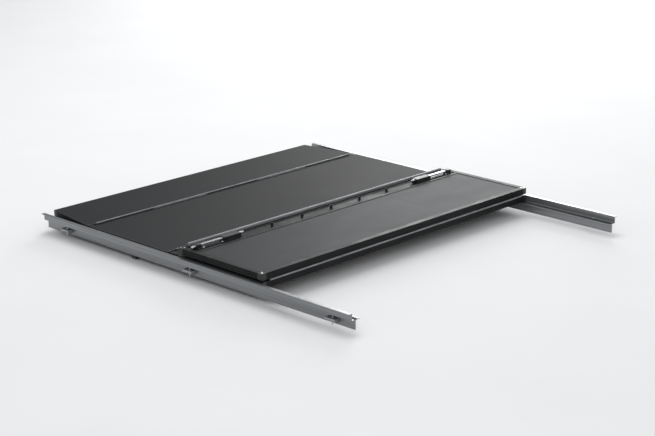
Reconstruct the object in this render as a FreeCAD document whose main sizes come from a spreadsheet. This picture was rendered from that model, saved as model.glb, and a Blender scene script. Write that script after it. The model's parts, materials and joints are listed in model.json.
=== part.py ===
import FreeCAD, Part
import os
import Sketcher

# Hard folding cover for a pickup bed: a fixed front panel and three folding panels on two side rails.
# Millimetres. +X is the truck's right side, +Y points at the cab and +Z is up. The origin is on the
# truck's centre line, in the middle of the seat under the front panel's front frame member.
# The last panel is folded over on the third, with its underside up.

DRIVING_SIZES = {
    # panels
    "panel_half_width": 800,
    "panel_depth": 26,
    "skin": 1.2,
    "skin_recess": 2,
    "skin_margin": 0.8,
    "frame_width": 24,
    "latch_frame_width": 95,
    "frame_wall": 1.8,
    "side_groove": 1.5,
    "groove_height": 2,
    "lower_groove": 6,
    "upper_groove": 15,
    "channel_depth": 3,
    "channel_margin": 12,
    # lengths along the bed, each from one hinge axis to the next
    "front_edge": 12,
    "front_pitch": 290,
    "second_pitch": 494,
    "link_pitch": 45,
    "third_pitch": 480,
    "tail_pitch": 466,
    "front_taper": 45,
    "lean_gap": 0.4,
    # hinges
    "seam": 3,
    "axis_rise": 4,
    "barrel_radius": 3.4,
    "hinge_pin_radius": 1.6,
    "hinge_clearance": 0.05,
    "ridge_width": 11,
    "ridge_rise": 1,
    "arm_reach": 8,
    "arm_low": 0.8,
    "arm_high": 3.4,
    "knuckle_length": 304,
    "knuckle_gap": 0.6,
    "pin_half_length": 758,
    "link_depth": 9,
    # side rails
    "ledge_inner": 764,
    "ledge_drop": 2,
    "rail_wall": 3,
    "web_inner": 784,
    "web_foot": 42,
    "lip_inner": 803.5,
    "lip_top": 24,
    "flange_outer": 820,
    "rail_front": 10,
    "rail_length": 1762,
    "rail_seal_inner": 776,
    "rail_seal_width": 12,
    "rail_seal_gap": 0.2,
    # clamps
    "clamp_from_front": 130,
    "clamp_spacing": 760,
    "screw_x": 796,
    "screw_radius": 3,
    "screw_head_radius": 5.6,
    "screw_end": 44,
    "screw_clearance": 0.06,
    "jaw_half_length": 25,
    "jaw_outer": 812,
    "jaw_top": 17,
    "jaw_depth": 14,
    "jaw_gap": 0.3,
    # seals
    "seal_base": 1.5,
    "bulb_radius": 5.5,
    "bulb_bore": 3.5,
    "bulkhead_seal_height": 10,
    "tail_seal_setback": 10,
    "tail_seal_half_length": 758,
    # front anchor brackets
    "anchor_spacing": 1100,
    "anchor_half_width": 22,
    "anchor_plate": 3,
    "anchor_foot": 58,
    "anchor_hole_drop": 38,
    "anchor_hole_radius": 4.25,
    "anchor_leg": 50,
    # slam latches
    "latch_offset": 55,
    "latch_inner": 530,
    "latch_housing_end": 620,
    "latch_guide_start": 738,
    "latch_guide_end": 762,
    "latch_plate_half": 17,
    "housing_half": 15,
    "guide_half": 12,
    "latch_drop": 15,
    "bar_half": 7,
    "bar_top": 6,
    "bar_depth": 6,
    "bar_inner": 590,
    "bar_nose": 766,
    "bar_tip": 780,
    "bar_tip_depth": 1.5,
    "bar_clearance": 0.3,
    "cavity_inner": 548,
    "cable_radius": 1.5,
    "cable_clearance": 0.3,
    "ferrule_radius": 5,
    "ferrule_length": 24,
    # prop rods
    "prop_x": 725,
    "prop_setback": 110,
    "prop_length": 290,
    "prop_radius": 4,
    "prop_drop": 9,
    "eye_radius": 7,
    "eye_half": 5,
    "ear_gap": 1,
    "ear_thickness": 6,
    "ear_half": 8,
    "prop_pin_radius": 3,
    "prop_plate_half": 20,
    "prop_plate": 3,
    "prop_tip_reach": 25,
    "prop_tip_radius": 4.5,
    "prop_bar_gap": 5,
    "catch_from_front": 553,
    "catch_drop": 44,
    "catch_inner": 733,
    "catch_half": 12,
    "catch_slot_half": 5.2,
    "catch_lip": 2,
    "catch_depth": 12,
}

document = FreeCAD.newDocument("tonneau_cover")
sheet = document.addObject("Spreadsheet::Sheet", "Sizes")
nodes = []


class Size:
    """A length with its number and its formula over the sheet."""

    def __init__(self, number, formula):
        self.number = number
        self.formula = formula

    def __add__(self, other):
        other = as_size(other)
        return Size(self.number + other.number, f"({self.formula} + {other.formula})")

    def __sub__(self, other):
        other = as_size(other)
        return Size(self.number - other.number, f"({self.formula} - {other.formula})")

    def __mul__(self, factor):
        factor = as_size(factor)
        return Size(self.number * factor.number, f"({self.formula} * {factor.formula})")

    def __truediv__(self, divisor):
        divisor = as_size(divisor)
        return Size(self.number / divisor.number, f"({self.formula} / {divisor.formula})")

    def __neg__(self):
        return self * -1


class Sheet:
    """The sheet's cells, read as sizes by their aliases."""

    def __getattr__(self, alias):
        return Size(float(DRIVING_SIZES[alias]), f"Sizes.{alias}")


def as_size(value):
    """A plain number becomes a size too."""
    if isinstance(value, Size):
        return value
    return Size(float(value), f"({value})")


def fill_sheet():
    """One row for each driving size, with the size's name as its alias."""
    for row, (alias, value) in enumerate(DRIVING_SIZES.items(), start=1):
        sheet.set(f"A{row}", str(value))
        sheet.setAlias(f"A{row}", alias)
    document.recompute()


def bind(item, field, size):
    """Drives one field of an object by a size's formula."""
    item.setExpression(field, as_size(size).formula)


def keep(label, item):
    """Names a finished sub-part and puts it on the list of nodes."""
    item.Label = label
    nodes.append(item)
    return item


def block(name, x, y, z):
    """A box from three pairs of low and high coordinates."""
    box = document.addObject("Part::Box", name)
    for side, field, (low, high) in zip("xyz", ("Length", "Width", "Height"), (x, y, z)):
        low = as_size(low)
        bind(box, field, as_size(high) - low)
        bind(box, f"Placement.Base.{side}", low)
    return box


def rod(name, along, radius, centre, low, high):
    """A cylinder along one axis; centre gives its other two coordinates in order."""
    turns = {
        "x": FreeCAD.Rotation(FreeCAD.Vector(0, 1, 0), 90),
        "y": FreeCAD.Rotation(FreeCAD.Vector(1, 0, 0), -90),
        "z": FreeCAD.Rotation(),
    }
    cylinder = document.addObject("Part::Cylinder", name)
    cylinder.Placement = FreeCAD.Placement(FreeCAD.Vector(), turns[along])
    low = as_size(low)
    bind(cylinder, "Radius", radius)
    bind(cylinder, "Height", as_size(high) - low)
    others = [side for side in "xyz" if side != along]
    bind(cylinder, f"Placement.Base.{along}", low)
    for side, place in zip(others, centre):
        bind(cylinder, f"Placement.Base.{side}", place)
    return cylinder


def fuse(name, *items):
    """The union of several objects."""
    union = document.addObject("Part::MultiFuse", name)
    union.Shapes = list(items)
    return union


def cut(name, base, tool):
    """What is left of base outside the tool."""
    rest = document.addObject("Part::Cut", name)
    rest.Base = base
    rest.Tool = tool
    return rest


def common(name, base, tool):
    """The part of base inside the tool."""
    shared = document.addObject("Part::Common", name)
    shared.Base = base
    shared.Tool = tool
    return shared


def group(name, *items):
    """Separate solids kept side by side."""
    compound = document.addObject("Part::Compound", name)
    compound.Links = list(items)
    return compound


def mirrored(name, source):
    """The mirror image on the other side of the truck's centre line."""
    image = document.addObject("Part::Mirroring", name)
    image.Source = source
    image.Normal = FreeCAD.Vector(1, 0, 0)
    return image


def pair(name, source):
    """A right-hand piece together with its left-hand mirror image."""
    return group(name, source, mirrored(f"{name}_left", source))


def draw_outline(sketch, outline):
    """A closed loop of straight lines whose corners are held by two sizes each."""
    first = sketch.GeometryCount
    count = len(outline)
    points = [FreeCAD.Vector(across.number, up.number, 0) for across, up in outline]
    for k in range(count):
        sketch.addGeometry(Part.LineSegment(points[k], points[(k + 1) % count]), False)
    for k in range(count):
        sketch.addConstraint(
            Sketcher.Constraint("Coincident", first + k, 2, first + (k + 1) % count, 1)
        )
    for k, corner in enumerate(outline):
        for kind, size in zip(("DistanceX", "DistanceY"), corner):
            index = sketch.addConstraint(
                Sketcher.Constraint(kind, -1, 1, first + k, 1, size.number)
            )
            bind(sketch, f"Constraints[{index}]", size)


def extrusion(name, plane, outlines, low, high):
    """A body padded from closed outlines on the XY, XZ or YZ plane, from low to high along the third axis."""
    body = document.addObject("PartDesign::Body", name)
    base = next(f for f in body.Origin.OriginFeatures if f.Role == f"{plane}_Plane")
    sketch = body.newObject("Sketcher::SketchObject", f"{name}_sketch")
    sketch.AttachmentSupport = [(base, "")]
    sketch.MapMode = "FlatFace"
    for outline in outlines:
        draw_outline(sketch, [(as_size(across), as_size(up)) for across, up in outline])
    pad = body.newObject("PartDesign::Pad", f"{name}_pad")
    pad.Profile = sketch
    bind(pad, "Length", as_size(high) - low)
    body.Tip = pad
    # a pad on the XZ plane grows towards -Y, so it starts at its high end
    normal = {"YZ": ("x", low), "XZ": ("y", high), "XY": ("z", low)}[plane]
    bind(body, f"Placement.Base.{normal[0]}", normal[1])
    return body


def rectangle(across, up):
    """The four corners of a rectangle from two pairs of low and high coordinates."""
    return [(across[0], up[0]), (across[1], up[0]), (across[1], up[1]), (across[0], up[1])]


fill_sheet()
S = Sheet()

HALF = S.panel_half_width
TOP = S.panel_depth
UNDER_SKIN = TOP - S.skin
AXIS_Z = TOP + S.axis_rise
FRONT_AXIS = S.front_edge - S.front_pitch
MID_FRONT_AXIS = FRONT_AXIS - S.second_pitch
MID_REAR_AXIS = MID_FRONT_AXIS - S.link_pitch
REAR_AXIS = MID_REAR_AXIS - S.third_pitch
TAIL_EDGE = REAR_AXIS - S.tail_pitch
TAPER = S.front_taper / S.front_pitch
FRONT_SIDE = 1
REAR_SIDE = -1
FIXED_KNUCKLES = (0, 2, 4)
MOVING_KNUCKLES = (1, 3)
KNUCKLE_COUNT = 5


def folded(name, source):
    """Turns a piece of the last panel half a turn about the rear hinge, on to the third panel."""
    turned = group(name, source)
    turned.Placement = FreeCAD.Placement(
        FreeCAD.Vector(), FreeCAD.Rotation(FreeCAD.Vector(1, 0, 0), 180)
    )
    bind(turned, "Placement.Base.y", REAR_AXIS * 2)
    bind(turned, "Placement.Base.z", AXIS_Z * 2)
    return turned


def as_it_lies(_name, source):
    """The other panels' pieces stay as they are made."""
    return source


def knuckle_span(index):
    """The ends along X of one knuckle of a hinge."""
    start = S.knuckle_length * (index - KNUCKLE_COUNT / 2)
    return start + S.knuckle_gap / 2, start + S.knuckle_length - S.knuckle_gap / 2


def span_beside(axis, side, near, far):
    """Low and high Y of a stretch measured from an axis towards its front or rear side."""
    ends = (axis + as_size(near) * side, axis + as_size(far) * side)
    return ends if side > 0 else (ends[1], ends[0])


def hinge_parts(name, axis, side, which):
    """Barrels on a hinge axis, each on an arm that reaches back over its own frame member."""
    parts = []
    for index in which:
        low, high = knuckle_span(index)
        barrel = rod(f"{name}_barrel_{index}", "x", S.barrel_radius, (axis, AXIS_Z), low, high)
        arm_y = span_beside(axis, side, 0, S.arm_reach)
        arm_z = (TOP + S.arm_low, TOP + S.arm_high)
        parts.append(barrel)
        parts.append(block(f"{name}_arm_{index}", (low, high), arm_y, arm_z))
    return parts


def with_hinge(name, member, axis, side, which):
    """A frame member joined to its knuckles and bored for the hinge pin."""
    union = fuse(f"{name}_with_knuckles", member, *hinge_parts(name, axis, side, which))
    bore_radius = S.hinge_pin_radius + S.hinge_clearance
    bore = rod(f"{name}_bore", "x", bore_radius, (axis, AXIS_Z), -HALF, HALF)
    return cut(f"{name}_bored", union, bore)


def member_outlines(near, far, width, ridge, channel):
    """Section of a cross member: near is its outer face and far its inner face, both as Y.

    The outer edge may carry a ridge for a hinge, and the underside a channel for the latches.
    """
    side = 1 if far.number > near.number else -1
    outer = [(near, as_size(0))]
    if channel:
        start = near + S.channel_margin * 2 * side
        end = far - S.channel_margin * side
        outer += [(start, as_size(0)), (start, S.channel_depth)]
        outer += [(end, S.channel_depth), (end, as_size(0))]
    outer += [(far, as_size(0)), (far, UNDER_SKIN)]
    if ridge:
        crest = TOP + S.ridge_rise
        outer += [(near + S.ridge_width * side, UNDER_SKIN), (near + S.ridge_width * side, crest)]
        outer += [(near, crest)]
    else:
        outer += [(near, UNDER_SKIN)]
    wall = S.frame_wall * side
    floor = S.frame_wall + (S.channel_depth if channel else 0)
    roof = UNDER_SKIN - S.frame_wall
    chambers = 2 if channel else 1
    room = (width * side - wall * (chambers + 1)) / chambers
    outlines = [outer]
    for k in range(chambers):
        start = near + wall + (room + wall) * k
        outlines.append(rectangle((start, start + room), (floor, roof)))
    return outlines


def side_member(name, half_at_front, front, rear, lean):
    """A grooved hollow side member, run from its front end to the rear, leaning by lean per length."""
    inner, outer, groove = -S.frame_width, as_size(0), -S.side_groove
    outline = [(inner, as_size(0)), (outer, as_size(0))]
    for height in (S.lower_groove, S.upper_groove):
        outline += [(outer, height), (groove, height)]
        outline += [(groove, height + S.groove_height), (outer, height + S.groove_height)]
    outline += [(outer, UNDER_SKIN), (inner, UNDER_SKIN)]
    chamber = rectangle(
        (inner + S.frame_wall, groove - S.frame_wall), (S.frame_wall, UNDER_SKIN - S.frame_wall)
    )
    length = front - rear
    body = extrusion(name, "XZ", [outline, chamber], -length, as_size(0))
    bind(body, "Placement.Base.x", half_at_front)
    bind(body, "Placement.Base.y", front)
    if lean is not None:
        bind(body, "Placement.Rotation.Angle", Size(0, f"atan({lean.formula})"))
    return body


def half_width(y, lean):
    """Half the panel's width at a place along the bed; only the front panel leans in towards the cab."""
    if lean is None:
        return HALF
    return HALF - (y - FRONT_AXIS) * lean


def corner_cap(name, edge, side, lean, ridge):
    """A moulded block that closes the side member and meets the cross member at one right-hand corner."""
    inner_y = edge + S.frame_width * side
    inner_x = half_width(edge, lean) - S.frame_width
    outline = [
        (inner_x, edge),
        (half_width(edge, lean), edge),
        (half_width(inner_y, lean), inner_y),
        (inner_x, inner_y),
    ]
    cap = extrusion(name, "XY", [outline], as_size(0), UNDER_SKIN)
    if not ridge:
        return cap
    ends = (edge, edge + S.ridge_width * side)
    ends = ends if side > 0 else (ends[1], ends[0])
    crest = (UNDER_SKIN - S.skin, TOP + S.ridge_rise)
    strip = block(f"{name}_ridge", (inner_x, HALF - S.skin_margin * 2), ends, crest)
    return fuse(f"{name}_with_ridge", cap, strip)


def plate_outline(front, rear, inset, lean):
    """A flat four-sided outline between two places along the bed, inset from the panel's sides."""
    front_x = half_width(front, lean) - inset
    rear_x = half_width(rear, lean) - inset
    return [(-rear_x, rear), (rear_x, rear), (front_x, front), (-front_x, front)]


def cross_members(name, edges, hinges, lean, place):
    """The front and rear members of a panel, with the knuckles of its hinges.

    edges maps each side of the panel to its outer and inner face, and whether it has a channel.
    """
    for side, (title, near, far, channel) in edges.items():
        ridge = side in hinges
        half = half_width(near, lean) - S.frame_width
        outlines = member_outlines(near, far, (far - near) * -side, ridge, channel)
        member = extrusion(f"{name}_{title}_bar", "YZ", outlines, -half, half)
        if ridge:
            axis, which = hinges[side]
            member = with_hinge(f"{name}_{title}", member, axis, -side, which)
        keep(f"{name}_{title}", place(f"{name}_{title}_placed", member))


def side_members(name, front, rear, lean, place):
    """The two side members of a panel, between its corner caps."""
    front, rear = front - S.frame_width, rear + S.frame_width
    if lean is None:
        member = side_member(f"{name}_side_bar", HALF, front, rear, None)
    else:
        spare = S.frame_width / 2
        start = front + spare
        bar = side_member(f"{name}_side_bar", half_width(start, lean), start, rear - spare, lean)
        limits = block(f"{name}_side_limits", (0, HALF * 2), (rear, front), (-TOP, TOP * 2))
        member = common(f"{name}_side_clipped", bar, limits)
    sides = pair(f"{name}_side_pair", member)
    keep(f"{name}_side_frames", place(f"{name}_sides_placed", sides))


def corner_caps(name, front, rear, hinges, lean, place):
    """The four moulded corners of a panel."""
    front_cap = corner_cap(f"{name}_front_cap", front, -1, lean, FRONT_SIDE in hinges)
    rear_cap = corner_cap(f"{name}_rear_cap", rear, 1, lean, REAR_SIDE in hinges)
    caps = pair(f"{name}_cap_pair", group(f"{name}_caps_right", front_cap, rear_cap))
    keep(f"{name}_corner_caps", place(f"{name}_caps_placed", caps))


def filling(name, front, rear, lean, place):
    """The foam slab inside the frame, and the lining skin bonded under it."""
    # a leaning side member is a little wider across the panel than one that runs straight
    inset = S.frame_width if lean is None else S.frame_width + S.lean_gap
    outline = plate_outline(front, rear, inset, lean)
    inside = S.skin_recess + S.skin
    foam = extrusion(f"{name}_foam", "XY", [outline], inside, UNDER_SKIN)
    keep(f"{name}_core", place(f"{name}_core_placed", foam))
    lining = extrusion(f"{name}_lining", "XY", [outline], S.skin_recess, inside)
    keep(f"{name}_bottom_skin", place(f"{name}_bottom_placed", lining))


def top_skin(name, front, rear, hinges, lean, place):
    """The sheet over the whole panel, clear of the ridges at its hinges."""
    clear = S.ridge_width + S.skin_margin
    skin_front = front - (clear if FRONT_SIDE in hinges else S.skin_margin)
    skin_rear = rear + (clear if REAR_SIDE in hinges else S.skin_margin)
    cover = plate_outline(skin_front, skin_rear, S.skin_margin, lean)
    sheet_metal = extrusion(f"{name}_sheet", "XY", [cover], UNDER_SKIN, TOP)
    keep(f"{name}_top_skin", place(f"{name}_top_placed", sheet_metal))


def panel(number, front, rear, hinges, latch_member=False, lean=None, place=as_it_lies):
    """One panel: four frame members, corner caps, foam core and two skins.

    hinges maps FRONT_SIDE or REAR_SIDE of the panel to the hinge axis and knuckles on that edge.
    """
    name = f"panel_{number}"
    inner_front = front - S.frame_width
    inner_rear = rear + (S.latch_frame_width if latch_member else S.frame_width)
    edges = {
        FRONT_SIDE: ("front_frame", front, inner_front, False),
        REAR_SIDE: ("rear_frame", rear, inner_rear, latch_member),
    }
    cross_members(name, edges, hinges, lean, place)
    side_members(name, front, rear, lean, place)
    corner_caps(name, front, rear, hinges, lean, place)
    filling(name, inner_front, inner_rear, lean, place)
    top_skin(name, front, rear, hinges, lean, place)


def hinge_pin(label, axis):
    """A long steel wire pin through one hinge's knuckles."""
    pin = rod(label, "x", S.hinge_pin_radius, (axis, AXIS_Z), -S.pin_half_length, S.pin_half_length)
    keep(label, pin)


def mid_hinge_link():
    """The wide strip between the second and third panels, with knuckles along both its edges."""
    section = rectangle(
        (MID_REAR_AXIS + S.seam, MID_FRONT_AXIS - S.seam), (TOP - S.link_depth, TOP + S.ridge_rise)
    )
    half = HALF - S.skin_margin
    strip = extrusion("mid_hinge_strip", "YZ", [section], -half, half)
    strip = with_hinge("mid_hinge_front", strip, MID_FRONT_AXIS, -1, MOVING_KNUCKLES)
    strip = with_hinge("mid_hinge_rear", strip, MID_REAR_AXIS, 1, MOVING_KNUCKLES)
    keep("mid_hinge_link", strip)


def rail_walls():
    """The four walls of the right-hand rail's section, each as its ranges across and up."""
    ledge_top = -S.ledge_drop
    ledge_bottom = ledge_top - S.rail_wall
    lip_outer = S.lip_inner + S.rail_wall
    flange_bottom = S.lip_top - S.rail_wall
    return {
        "ledge": ((S.ledge_inner, lip_outer), (ledge_bottom, ledge_top)),
        "web": ((S.web_inner, S.web_inner + S.rail_wall), (-S.web_foot, ledge_bottom)),
        "lip": ((S.lip_inner, lip_outer), (ledge_top, S.lip_top)),
        "flange": ((lip_outer, S.flange_outer), (flange_bottom, S.lip_top)),
    }


def side_rails():
    """Two rails, wall by wall: a ledge for the panels, a web below it, and a lip with a flange."""
    ends = (S.rail_front - S.rail_length, S.rail_front)
    walls = {
        title: block(f"rail_{title}", across, ends, up) for title, (across, up) in rail_walls().items()
    }
    holes = group("screw_holes", *[screw_at(f"hole_{k}", y, S.screw_clearance) for k, y in stations()])
    walls["ledge"] = cut("ledge_drilled", walls["ledge"], holes)
    rail = group("rail", *walls.values())
    keep("right_rail", rail)
    keep("left_rail", mirrored("left_rail_image", rail))
    seal = block(
        "rail_seal",
        (S.rail_seal_inner, S.rail_seal_inner + S.rail_seal_width),
        ends,
        (-S.ledge_drop, -S.rail_seal_gap),
    )
    keep("rail_seals", pair("rail_seal_pair", seal))


def stations():
    """The three places along a rail that have a clamp."""
    return [(k, -S.clamp_from_front - S.clamp_spacing * k) for k in range(3)]


def screw_at(name, y, spare):
    """A countersunk screw down through the ledge, or with spare room the hole that it takes."""
    ledge_top = -S.ledge_drop
    shank = rod(f"{name}_shank", "z", S.screw_radius + spare, (S.screw_x, y), -S.screw_end, ledge_top)
    head = document.addObject("Part::Cone", f"{name}_head")
    bind(head, "Radius1", S.screw_radius + spare)
    bind(head, "Radius2", S.screw_head_radius + spare)
    bind(head, "Height", S.rail_wall)
    bind(head, "Placement.Base.x", S.screw_x)
    bind(head, "Placement.Base.y", y)
    bind(head, "Placement.Base.z", ledge_top - S.rail_wall)
    return fuse(name, shank, head)


def clamps():
    """Screws held in the rails, and a jaw on each that climbs its screw and grips the bed's flange."""
    screws = [screw_at(f"screw_{k}", y, as_size(0)) for k, y in stations()]
    keep("clamp_screws", pair("screw_pair", group("screws_right", *screws)))
    for k, y in stations():
        solid = block(
            f"jaw_block_{k}",
            (S.web_inner + S.rail_wall + S.jaw_gap, S.jaw_outer),
            (y - S.jaw_half_length, y + S.jaw_half_length),
            (-S.jaw_top - S.jaw_depth, -S.jaw_top),
        )
        thread = rod(
            f"jaw_thread_{k}", "z", S.screw_radius + S.screw_clearance, (S.screw_x, y), -TOP * 2, 0
        )
        jaw = cut(f"jaw_{k}", solid, thread)
        keep(f"right_clamp_jaw_{k + 1}", jaw)
        keep(f"left_clamp_jaw_{k + 1}", mirrored(f"jaw_image_{k}", jaw))


def bulb_seal(name, half, centre, base_y, base_z):
    """A hollow rubber tube joined to a flat foot."""
    tube = rod(f"{name}_tube", "x", S.bulb_radius, centre, -half, half)
    foot = block(f"{name}_foot", (-half, half), base_y, base_z)
    bore = rod(f"{name}_bore", "x", S.bulb_bore, centre, -HALF, HALF)
    return cut(f"{name}_hollow", fuse(f"{name}_solid", tube, foot), bore)


def end_seals():
    """The seal against the bed's front wall, and the one that comes down on the tailgate."""
    half = half_width(S.front_edge, TAPER) - S.frame_width
    height = S.bulkhead_seal_height
    foot_y = (S.front_edge, S.front_edge + S.seal_base)
    foot_z = (height - S.bulb_radius, height + S.bulb_radius)
    centre = (S.front_edge + S.bulb_radius + S.seal_base / 2, height)
    keep("bulkhead_seal", bulb_seal("front_seal", half, centre, foot_y, foot_z))

    middle = TAIL_EDGE + S.tail_seal_setback
    foot_y = (middle - S.bulb_radius, middle + S.bulb_radius)
    foot_z = (-S.seal_base, as_size(0))
    centre = (middle, -S.bulb_radius - S.seal_base / 2)
    seal = bulb_seal("rear_seal", S.tail_seal_half_length, centre, foot_y, foot_z)
    keep("tail_seal", folded("tail_seal_placed", seal))


def front_anchors():
    """Two angle brackets under the front panel, with a bolt hole each for the bed's front wall."""
    x = S.anchor_spacing / 2
    sides = (x - S.anchor_half_width, x + S.anchor_half_width)
    face = -S.front_edge - S.ledge_drop
    under = S.skin_recess
    leg = block("anchor_leg_plate", sides, (face - S.anchor_leg, face), (under - S.anchor_plate, under))
    wall = block("anchor_wall", sides, (face - S.anchor_plate, face), (-S.anchor_foot, under))
    hole = rod(
        "anchor_hole", "y", S.anchor_hole_radius, (x, -S.anchor_hole_drop), face - S.anchor_leg, face + TOP
    )
    bracket = cut("anchor_bracket", fuse("anchor_angle", leg, wall), hole)
    keep("front_anchor_brackets", pair("anchor_pair", bracket))


def latch_set(prefix, edge, place):
    """Two spring-loaded slam latches near a panel's rear edge, drawn in by one cable between them."""
    y = edge + S.latch_offset
    plate = block(
        f"{prefix}_plate",
        (S.latch_inner, S.latch_guide_end),
        (y - S.latch_plate_half, y + S.latch_plate_half),
        (0, S.channel_depth),
    )
    housing = block(
        f"{prefix}_housing",
        (S.latch_inner, S.latch_housing_end),
        (y - S.housing_half, y + S.housing_half),
        (-S.latch_drop, S.channel_depth / 2),
    )
    guide = block(
        f"{prefix}_guide",
        (S.latch_guide_start, S.latch_guide_end),
        (y - S.guide_half, y + S.guide_half),
        (-S.latch_drop, S.channel_depth / 2),
    )
    way = block(
        f"{prefix}_way",
        (S.cavity_inner, S.latch_guide_end + S.rail_wall),
        (y - S.bar_half - S.bar_clearance, y + S.bar_half + S.bar_clearance),
        (-S.bar_top - S.bar_depth - S.bar_clearance, -S.bar_top + S.bar_clearance),
    )
    cable_z = -S.bar_top - S.bar_depth / 2
    hole = rod(
        f"{prefix}_cable_hole",
        "x",
        S.cable_radius + S.cable_clearance,
        (y, cable_z),
        S.latch_inner - S.rail_wall,
        S.cavity_inner + S.rail_wall,
    )
    casting = fuse(f"{prefix}_casting", plate, housing, guide)
    openings = group(f"{prefix}_openings", way, hole)
    latch_body = cut(f"{prefix}_body", casting, openings)
    bodies = pair(f"{prefix}_bodies", latch_body)
    keep(f"{prefix}_latch_bodies", place(f"{prefix}_bodies_placed", bodies))

    bar_low = -S.bar_top - S.bar_depth
    nose = [
        (S.bar_inner, bar_low),
        (S.bar_nose, bar_low),
        (S.bar_tip, -S.bar_top - S.bar_tip_depth),
        (S.bar_tip, -S.bar_top),
        (S.bar_inner, -S.bar_top),
    ]
    bar = extrusion(f"{prefix}_bar", "XZ", [nose], y - S.bar_half, y + S.bar_half)
    keep(f"{prefix}_latch_bolt_right", place(f"{prefix}_bar_placed", bar))
    image = mirrored(f"{prefix}_bar_image", bar)
    keep(f"{prefix}_latch_bolt_left", place(f"{prefix}_image_placed", image))

    line = rod(
        f"{prefix}_cable", "x", S.cable_radius, (y, cable_z), -S.cavity_inner, S.cavity_inner
    )
    keep(f"{prefix}_release_cable", place(f"{prefix}_cable_placed", line))
    sleeve = rod(
        f"{prefix}_sleeve",
        "x",
        S.ferrule_radius,
        (y, cable_z),
        S.latch_inner - S.ferrule_length,
        S.latch_inner,
    )
    bore = rod(
        f"{prefix}_sleeve_bore",
        "x",
        S.cable_radius + S.cable_clearance,
        (y, cable_z),
        0,
        HALF,
    )
    ferrules = pair(f"{prefix}_ferrule_pair", cut(f"{prefix}_ferrule", sleeve, bore))
    keep(f"{prefix}_cable_ferrules", place(f"{prefix}_ferrules_placed", ferrules))


def prop_rods():
    """Two rods under the second panel that swing down and hold it up, their brackets and catches."""
    x = S.prop_x
    y = FRONT_AXIS - S.prop_setback
    z = -S.prop_drop
    plate_low = S.skin_recess - S.prop_plate
    ear_inner = S.eye_half + S.ear_gap
    ear_outer = ear_inner + S.ear_thickness
    plate = block(
        "prop_plate_block",
        (x - ear_outer, x + ear_outer),
        (y - S.prop_plate_half, y + S.prop_plate_half),
        (plate_low, S.skin_recess),
    )
    ears = []
    for title, inner, outer in (("in", -ear_outer, -ear_inner), ("out", ear_inner, ear_outer)):
        ears.append(
            block(
                f"prop_ear_{title}",
                (x + inner, x + outer),
                (y - S.ear_half, y + S.ear_half),
                (z - S.eye_radius, plate_low + S.skin),
            )
        )
    pivot = rod("prop_pivot", "x", S.prop_pin_radius, (y, z), x - ear_outer, x + ear_outer)
    bracket = fuse("prop_bracket", plate, *ears, pivot)
    keep("prop_brackets", pair("prop_bracket_pair", bracket))

    eye = rod("prop_eye", "x", S.eye_radius, (y, z), x - S.eye_half, x + S.eye_half)
    bar = rod("prop_bar", "y", S.prop_radius, (x, z), y - S.prop_length, y - S.prop_bar_gap)
    tip_ends = (x - S.prop_tip_radius, x + S.prop_tip_reach)
    tip = rod("prop_tip", "x", S.prop_tip_radius, (y - S.prop_length, z), *tip_ends)
    bore = rod(
        "prop_bore", "x", S.prop_pin_radius + S.screw_clearance, (y, z), x - ear_outer, x + ear_outer
    )
    prop = cut("prop_bored", fuse("prop_solid", eye, bar, tip), bore)
    keep("prop_rod_right", prop)
    keep("prop_rod_left", mirrored("prop_image", prop))

    seat_y = S.front_edge - S.catch_from_front
    seat_z = -S.catch_drop
    arm = block(
        "catch_arm",
        (S.catch_inner, S.web_inner),
        (seat_y - S.catch_half, seat_y + S.catch_half),
        (seat_z - S.catch_depth, seat_z - S.catch_lip),
    )
    fixing = block(
        "catch_fixing",
        (S.web_inner - S.rail_wall, S.web_inner),
        (seat_y - S.catch_half, seat_y + S.catch_half),
        (seat_z - S.catch_depth, -S.ledge_drop - S.rail_wall * 3),
    )
    slot = block(
        "catch_slot",
        (S.prop_x, S.prop_x + S.prop_tip_reach + S.rail_wall),
        (seat_y - S.catch_slot_half, seat_y + S.catch_slot_half),
        (seat_z - S.catch_slot_half, seat_z),
    )
    catch = cut("prop_catch", fuse("catch_solid", arm, fixing), slot)
    keep("prop_catches", pair("catch_pair", catch))


def check_and_write():
    """Stops on any failed object or bad shape, then writes one file for each node."""
    document.recompute()
    failed = [o.Label for o in document.Objects if {"Invalid", "Error"} & set(o.State)]
    if failed:
        raise RuntimeError(f"these objects failed: {failed}")
    os.makedirs("parts", exist_ok=True)
    for node in nodes:
        if node.Shape.isNull() or not node.Shape.isValid() or node.Shape.Volume <= 0:
            raise RuntimeError(f"{node.Label} has no valid shape")
        node.Shape.exportStep(f"parts/{node.Label}.step")
    print(len(nodes), "nodes written")


side_rails()
clamps()
panel(
    1,
    S.front_edge,
    FRONT_AXIS + S.seam,
    {REAR_SIDE: (FRONT_AXIS, FIXED_KNUCKLES)},
    lean=TAPER,
)
front_anchors()
hinge_pin("front_hinge_pin", FRONT_AXIS)
panel(
    2,
    FRONT_AXIS - S.seam,
    MID_FRONT_AXIS + S.seam,
    {FRONT_SIDE: (FRONT_AXIS, MOVING_KNUCKLES), REAR_SIDE: (MID_FRONT_AXIS, FIXED_KNUCKLES)},
    latch_member=True,
)
latch_set("mid", MID_FRONT_AXIS + S.seam, as_it_lies)
prop_rods()
hinge_pin("mid_hinge_front_pin", MID_FRONT_AXIS)
mid_hinge_link()
hinge_pin("mid_hinge_rear_pin", MID_REAR_AXIS)
panel(
    3,
    MID_REAR_AXIS - S.seam,
    REAR_AXIS + S.seam,
    {FRONT_SIDE: (MID_REAR_AXIS, FIXED_KNUCKLES), REAR_SIDE: (REAR_AXIS, FIXED_KNUCKLES)},
)
hinge_pin("rear_hinge_pin", REAR_AXIS)
panel(
    4,
    REAR_AXIS - S.seam,
    TAIL_EDGE,
    {FRONT_SIDE: (REAR_AXIS, MOVING_KNUCKLES)},
    latch_member=True,
    place=folded,
)
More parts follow.
